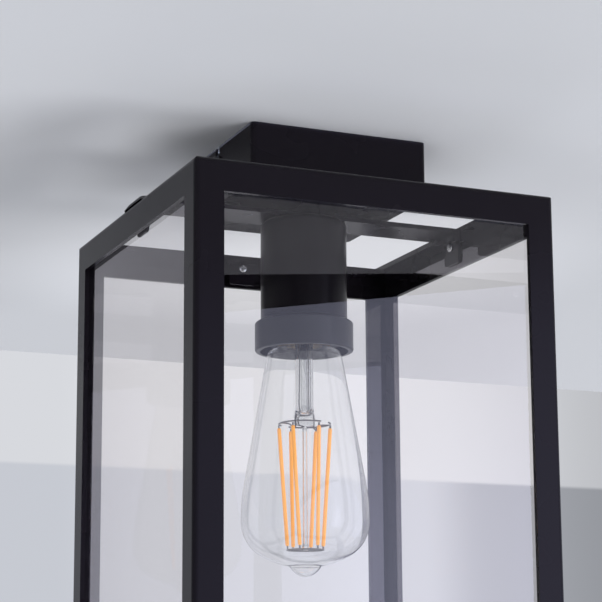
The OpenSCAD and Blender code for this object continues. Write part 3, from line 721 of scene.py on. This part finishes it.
# four screws, one to each side, whose heads face into the lantern; clip plates give the height that they stand on
def makeUpperScrews(s):
    low, high = span("upper_clip_screws")
    z, headR = (low[2] + high[2]) / 2, (high[2] - low[2]) / 2
    seat = -span("upper_clip_front")[1][1]
    local = screwPoints(s, headR, high[0] - seat, **s["clip"])
    return [placed(local, (w[0] * seat, w[1] * seat, z), (-w[0], -w[1], 0)) for w in sideWays.values()]


def makeLowerScrews(s):  # four screws, heads up, their heads' rims at the node's outer edge
    low, high = span("lower_clip_screws")
    seat, out = high[2] - s["clip"]["headH"], high[0] - s["lowerHeadR"]
    local = screwPoints(s, s["lowerHeadR"], seat - low[2], **s["clip"])
    return [placed(local, (w[0] * out, w[1] * out, seat), (0, 0, 1)) for w in sideWays.values()]


def makeSideScrew(s, way):  # its head outwards, left or right
    low, high = span("side_screw_right")
    z, headR = (low[2] + high[2]) / 2, (high[2] - low[2]) / 2
    seat = high[0] - s["side"]["headH"]
    local = screwPoints(s, headR, seat - low[0], **s["side"])
    return placed(local, (way * seat, 0, z), (way, 0, 0))


standsFor(surface("upperClipScrews", makeUpperScrews(screwSet), sharpDeg=50), "upper_clip_screws", "lantern")
standsFor(surface("lowerClipScrews", makeLowerScrews(screwSet), sharpDeg=50), "lower_clip_screws", "lantern")
for sideName, way in (("left", -1), ("right", 1)):
    piece = surface("sideScrew" + sideName.capitalize(), makeSideScrew(screwSet, way), sharpDeg=50)
    standsFor(piece, "side_screw_" + sideName, "side_screw_" + sideName)
print("stage: screws")

tubeSet = dict(pitch=1.0 * mm, depth=0.55 * mm, bore=3.5 * mm, endBevel=0.3 * mm, steps=64)


# the carrying tube: its outer radius dips by the thread's depth times a rounded saw, its bore is plain
def makeTube(s):
    low, high = span("threaded_tube")
    angle = np.linspace(0, 2 * np.pi, s["steps"], endpoint=False)[None]
    z = np.linspace(low[2], high[2], int((high[2] - low[2]) / s["pitch"] * 8))[:, None]
    fade = smoothStep((z - low[2]) / s["pitch"]) * smoothStep((high[2] - z) / s["pitch"])
    dip = s["depth"] * (0.5 - 0.5 * np.cos(angle - 2 * np.pi * z / s["pitch"])) * fade
    outside = roundGrid(high[0] - dip - s["endBevel"] * (1 - fade), z, angle)
    inside = roundGrid(np.full((2, 1), s["bore"]), np.array([[high[2]], [low[2]]]), angle)
    return surface("carryingTube", np.concatenate([outside, inside]), wrapU=True, sharpDeg=60)


nutSet = dict(flats=15 * mm, bore=5.0 * mm, chamfer=0.4 * mm, chamferDeg=30, coneIn=0.1 * mm, steps=96)


# a hexagon's radius is half its flats over cos of the angle from the nearest flat; a cone trims both faces' corners
def makeNut(s):
    low, high = span("tube_nut")
    angle = np.linspace(0, 2 * np.pi, s["steps"], endpoint=False)[None]
    hexR = s["flats"] / 2 / np.cos((angle + np.pi / 6) % (np.pi / 3) - np.pi / 6)
    coneR = s["flats"] / 2 - s["coneIn"]
    trim = np.maximum(hexR - coneR, 0) * math.tan(math.radians(s["chamferDeg"]))
    flatR = np.minimum(hexR, coneR)
    grid = np.concatenate([
        roundGrid(s["bore"], low[2] + s["chamfer"], angle), roundGrid(s["bore"] + s["chamfer"], low[2], angle),
        roundGrid(flatR, low[2], angle), roundGrid(hexR, low[2] + trim, angle),
        roundGrid(hexR, high[2] - trim, angle), roundGrid(flatR, high[2], angle),
        roundGrid(s["bore"] + s["chamfer"], high[2], angle), roundGrid(s["bore"], high[2] - s["chamfer"], angle),
    ])
    return surface("tubeNut", grid, wrapU=True, sharpDeg=25)


standsFor(makeTube(tubeSet), "threaded_tube", "lantern")
standsFor(makeNut(nutSet), "tube_nut", "lantern")
print("stage: carrying tube and nut")

weld = dict(
    high=2.0 * mm,
    wide=4.0 * mm,
    endWide=1.2 * mm,  # at the strap's end, where the rail is narrow
    swell=0.12,
    along=12 * mm,  # how far the bead runs in along the strap's long edges
    corner=3 * mm,
    taper=2.2 * mm,
    bury=0.25 * mm,  # how far the bead's back lies inside the strap
    ripple=1.5 * mm,
    rippleDepth=0.05,
    steps=240,
)


# a bead round each end of the strap: along its outline u the cross-section v falls in a straight line from the
# strap's face to the rail, a little swollen by sin(pi v) and rippled, and it dies away at both ends
def makeWelds(s):
    strapEnd, strapSide = span("cross_strap")[1][:2]
    corner = s["corner"]
    bend = arc((strapEnd - corner, strapSide - corner), corner, 90, 0, 14)
    edgeX = np.linspace(strapEnd - s["along"], strapEnd - corner, 40)[:-1]
    half = np.concatenate([np.stack([edgeX, strapSide + 0 * edgeX], 1), bend])
    line = np.concatenate([half, [[strapEnd, 0]], half[::-1] * [1, -1]])
    run = np.concatenate([[0], np.cumsum(np.linalg.norm(np.diff(line, axis=0), axis=1))])
    u = np.linspace(0, run[-1], s["steps"])
    x, y = np.interp(u, run, line[:, 0]), np.interp(u, run, line[:, 1])
    alongX, alongY = np.gradient(x), np.gradient(y)
    size = np.hypot(alongX, alongY)
    outX, outY = -alongY / size, alongX / size
    atEnd = np.clip(outX, 0, 1) ** 2
    fade = np.sqrt(np.clip(np.minimum(u, run[-1] - u) / s["taper"], 0, 1))
    fade = fade * (1 + s["rippleDepth"] * np.cos(2 * np.pi * u / s["ripple"]))
    wide = ((s["wide"] * (1 - atEnd) + s["endWide"] * atEnd) * fade)[:, None]
    tall = (s["high"] * fade)[:, None]
    v = np.linspace(0, 1, 9)
    back = np.full_like(tall, -s["bury"])
    out = np.concatenate([back, wide * v, back], 1)
    rise = np.concatenate([tall, tall * (1 - v + s["swell"] * np.sin(np.pi * v)), 0 * tall], 1)
    grids = []
    for way in (-1, 1):
        px, py = x[:, None] + outX[:, None] * out, y[:, None] + outY[:, None] * out
        grid = np.stack([way * px, py, frameTop + rise], -1)
        ends = [np.broadcast_to(grid[i].mean(0), grid[:1].shape) for i in (0, -1)]
        grids.append(np.concatenate([ends[0], grid, ends[1]]))
    return grids


addsTo(surface("strapWelds", makeWelds(weld), sharpDeg=50), "black_powder_coat", "lantern")
print("stage: welds")

stageSet = dict(
    half=3.0,  # half the width of the ceiling, the wall and the floor
    lift=0.3 * mm,  # of the ceiling over the bracket's top
    contact=4 * mm,  # the stage lets shorter rays pass
    backdrop=(0.655, 0.665, 0.685),
    floorDrop=1.7,
    floorOwn=0.5,
    ceiling=(0.70, 0.715, 0.76),
    ceilingGlow=0.22,
    glowAt=(0.08, 0.22),  # middle of the light patch on the ceiling
    glowSpan=(0.08, 0.24),  # distances from it where the patch starts to fade and ends
    shadeAt=(-0.052, -0.02),  # deepest part of the shadow beside the cover
    shadeDepth=0.32,
    shadeSpan=(0.005, 0.055),
    wallY=0.58,
    wallHigh=(0.68, 0.693, 0.73),
    wallLow=(0.545, 0.565, 0.617),
    wallStep=(-0.092, -0.088),  # heights between which the wall's two tones meet
    wallGlow=0.16,  # how much lighter the wall's middle is than its left
    wallGlowSpan=(0.03, 0.12),  # along X
    wallDim=0.36,  # how much the wall darkens to the right
    wallDimSpan=(0.34, 0.58),
    lowLeft=1.04,  # the lower tone's share at the left
    lowDim=0.27,  # and how much it loses to the right
    lowDimSpan=(0.36, 0.425),
    edgeAt=(0.105, -0.4225),  # the ceiling's front edge runs through this point
    edgeWay=(0.918, 0.396),
    # the dark band under that edge, seen in gloss only: a painted dark reflection in the front pane
    darkBandSpan=(-0.6, 0.22),  # along that edge, from edgeAt
    darkBandHigh=0.0207,
    darkBandSlope=0.087,
    darkReflectionColor=(0.01, 0.01, 0.012),
)


# a sheet that shows from the side it faces, to the rays named, and is clear from behind, to all other light and to
# rays shorter than contact
def stageSheet(s, tree, shader, rays=("Camera", "Glossy", "Transmission")):
    add, calc = nodeTool(tree), mathTool(tree)
    path = add("ShaderNodeLightPath")
    front = calc("SUBTRACT", 1.0, add("ShaderNodeNewGeometry").outputs["Backfacing"])
    seen = path.outputs["Is %s Ray" % rays[0]]
    for ray in rays[1:]:
        seen = calc("MAXIMUM", seen, path.outputs["Is %s Ray" % ray])
    far = calc("MULTIPLY", seen, calc("GREATER_THAN", path.outputs["Ray Length"], s["contact"]))
    clear = add("ShaderNodeBsdfTransparent").outputs["BSDF"]
    showShader(tree, mixTool(tree)(calc("MULTIPLY", far, front), clear, shader))


def withOwnLight(tree, matt, color, strength):  # a matt shader plus light of its own
    own = nodeTool(tree)("ShaderNodeEmission", Color=(*color, 1))
    feed(tree, strength, own.inputs["Strength"])
    both = tree.nodes.new("ShaderNodeAddShader")
    tree.links.new(matt.outputs["BSDF"], both.inputs[0])
    tree.links.new(own.outputs["Emission"], both.inputs[1])
    return both.outputs["Shader"]


def scaled(tree, color, share):  # a colour times a share that comes from a socket
    node = nodeTool(tree)("ShaderNodeVectorMath", operation="SCALE")
    node.inputs[0].default_value = color
    tree.links.new(share, node.inputs["Scale"])
    return node.outputs["Vector"]


# the dark band: one dark matt tone, seen in gloss only, a painted dark reflection
def darkReflectionMaterial(s):
    material, tree = bareMaterial("glossOnlyDarkBand")
    matt = nodeTool(tree)("ShaderNodeBsdfDiffuse", Color=(*s["darkReflectionColor"], 1))
    stageSheet(s, tree, matt.outputs["BSDF"], rays=("Glossy",))
    return material


# the floor: pale, with enough of its own light to end unseen in the backdrop
def floorMaterial(s):
    material, tree = bareMaterial("floor")
    matt = nodeTool(tree)("ShaderNodeBsdfDiffuse", Color=(*s["backdrop"], 1))
    stageSheet(s, tree, withOwnLight(tree, matt, s["backdrop"], s["floorOwn"]))
    return material


# the ceiling: lit by the lamps, with a soft patch of its own light round glowAt and a soft shadow round shadeAt
def ceilingMaterial(s):
    material, tree = bareMaterial("ceiling")
    add, ramp, link = nodeTool(tree), rampTool(tree), tree.links.new
    where = add("ShaderNodeTexCoord").outputs["Object"]

    def farFrom(place):  # distance over the ceiling from a place on it
        node = add("ShaderNodeVectorMath", operation="DISTANCE")
        node.inputs[1].default_value = (*place, s["lift"])
        link(where, node.inputs[0])
        return node.outputs["Value"]

    matt = add("ShaderNodeBsdfDiffuse")
    shade = ramp(farFrom(s["shadeAt"]), s["shadeSpan"], 1 - s["shadeDepth"], 1.0)
    link(scaled(tree, s["ceiling"], shade), matt.inputs["Color"])
    patch = ramp(farFrom(s["glowAt"]), s["glowSpan"], s["ceilingGlow"], 0.0)
    stageSheet(s, tree, withOwnLight(tree, matt, s["ceiling"], patch))
    return material


# the wall behind, by its own light: a lighter tone above its step than below, its middle a little lighter than its
# left, and both tones dim softly to the right, the lower one more
def wallMaterial(s):
    material, tree = bareMaterial("wall")
    add, ramp, link = nodeTool(tree), rampTool(tree), tree.links.new
    where = add("ShaderNodeSeparateXYZ")
    link(add("ShaderNodeTexCoord").outputs["Object"], where.inputs[0])
    x, z = where.outputs["X"], where.outputs["Z"]
    low = scaled(tree, s["wallLow"], ramp(x, s["lowDimSpan"], s["lowLeft"], 1 - s["lowDim"]))
    tone = add("ShaderNodeMix", data_type="RGBA")
    tone.inputs[7].default_value = (*s["wallHigh"], 1)  # A and B as colours
    link(low, tone.inputs[6])
    link(ramp(z, s["wallStep"]), tone.inputs[0])
    glow = ramp(x, s["wallGlowSpan"], 1.0, 1 + s["wallGlow"])
    dim = ramp(x, s["wallDimSpan"], 1.0, 1 - s["wallDim"])
    shine = add("ShaderNodeEmission")
    link(tone.outputs[2], shine.inputs["Color"])
    link(mathTool(tree)("MULTIPLY", glow, dim), shine.inputs["Strength"])
    stageSheet(s, tree, shine.outputs["Emission"])
    return material


def stageQuad(name, corners, material):  # corners in turn, anticlockwise as seen from the pale side
    mesh = bpy.data.meshes.new(name)
    mesh.from_pydata([tuple(c) for c in corners], [], [(0, 1, 2, 3)])
    mesh.materials.append(material)
    quad = newObject(name, mesh)


# ceiling, wall and floor, and the dark band under the ceiling's front edge that the front pane mirrors, seen in gloss
# only as a painted dark reflection
def makeStage(s):
    half, floorZ, wallY, lift = s["half"], -s["floorDrop"], s["wallY"], s["lift"]
    edge, way = np.array(s["edgeAt"]), np.array(s["edgeWay"])
    left, right, backY = edge - way * half, edge + way * half, wallY + half
    stageQuad("ceiling", [(*right, lift), (*left, lift), (-half, backY, lift), (half, backY, lift)], ceilingMaterial(s))
    stageQuad("wall", [(-half, wallY, floorZ), (half, wallY, floorZ), (half, wallY, lift), (-half, wallY, lift)],
              wallMaterial(s))
    stageQuad("floor", [(-half, -half, floorZ), (half, -half, floorZ), (half, half, floorZ), (-half, half, floorZ)],
              floorMaterial(s))
    a, b = [edge + way * t for t in s["darkBandSpan"]]
    lowA, lowB = [-s["darkBandHigh"] + s["darkBandSlope"] * t for t in s["darkBandSpan"]]
    stageQuad("glossOnlyDarkBand", [(*b, lift), (*b, lowB), (*a, lowA), (*a, lift)], darkReflectionMaterial(s))


makeStage(stageSet)

worldSet = dict(
    fill=0.42,
    fillColor=(0.95, 0.97, 1.0),
    sky=(0.93, 1.0, 1.3),  # what gloss mirrors beyond the ceiling
    peak=2.1,  # how much brighter it is low at the right front
    riseSpan=(0.33, 0.56),  # along the direction's X
    fadeSpan=(0.58, 0.76),
    fallSpan=(0.05, 0.24),  # along its Z
    fallTo=0.3,
    leftShare=0.62,  # the sky's share at the left
    leftSpan=(-0.6, -0.1),
)


# the world: the backdrop for the camera and through glass, a bluish sky in gloss, and an even fill as light; the
# sky's strength is (1 + peak rise fade fall) left, so that it is brightest low at the right front
def makeWorld(s, backdrop):
    world = bpy.data.worlds.new("studio")
    world.use_nodes = True
    bpy.context.scene.world = world
    tree = world.node_tree
    tree.nodes.clear()
    add, calc, ramp, mix, link = nodeTool(tree), mathTool(tree), rampTool(tree), mixTool(tree), tree.links.new
    seen = add("ShaderNodeBackground", Color=(*backdrop, 1), Strength=1.0)
    light = add("ShaderNodeBackground", Color=(*s["fillColor"], 1), Strength=s["fill"])
    sky = add("ShaderNodeBackground", Color=(*s["sky"], 1))
    where = add("ShaderNodeSeparateXYZ")
    link(add("ShaderNodeTexCoord").outputs["Generated"], where.inputs[0])
    x, z = where.outputs["X"], where.outputs["Z"]
    low = calc("MULTIPLY", ramp(x, s["riseSpan"]), ramp(z, s["fallSpan"], 1.0, s["fallTo"]))
    patch = calc("MULTIPLY", low, ramp(x, s["fadeSpan"], 1.0, 0.0))
    left = ramp(x, s["leftSpan"], s["leftShare"], 1.0)
    link(calc("MULTIPLY", calc("MULTIPLY_ADD", patch, s["peak"], 1.0), left), sky.inputs["Strength"])
    path = add("ShaderNodeLightPath")
    camera, glossy, through = [path.outputs["Is %s Ray" % ray] for ray in ("Camera", "Glossy", "Transmission")]
    plain = mix(calc("MAXIMUM", camera, through), light.outputs["Background"], seen.outputs["Background"])
    inGloss = calc("SUBTRACT", glossy, through, use_clamp=True)  # a bent ray counts as both
    link(mix(inGloss, plain, sky.outputs["Background"]), add("ShaderNodeOutputWorld").inputs["Surface"])


makeWorld(worldSet, stageSet["backdrop"])

lampSet = dict(
    key=dict(place=(3.4, -4.2, -2.2), size=3.2, power=330),
    left=dict(place=(-4.2, -2.4, -1.6), size=3.0, power=60),
    back=dict(place=(1.2, 4.2, -1.4), size=3.0, power=60),
)


def makeLamp(name, place, size, power, aimAt=(0, 0, -0.15)):  # a square lamp that no ray sees, turned to a point
    data = bpy.data.lights.new(name, "AREA")
    data.shape = "SQUARE"
    data.size = size
    data.energy = power
    lamp = newObject(name, data)
    lamp.location = place
    lamp.rotation_euler = (Vector(aimAt) - Vector(place)).to_track_quat("-Z", "Y").to_euler()
    lamp.visible_camera = lamp.visible_glossy = lamp.visible_transmission = False


for lampName, s in lampSet.items():
    makeLamp(lampName + "Light", **s)
print("stage: stage and light")
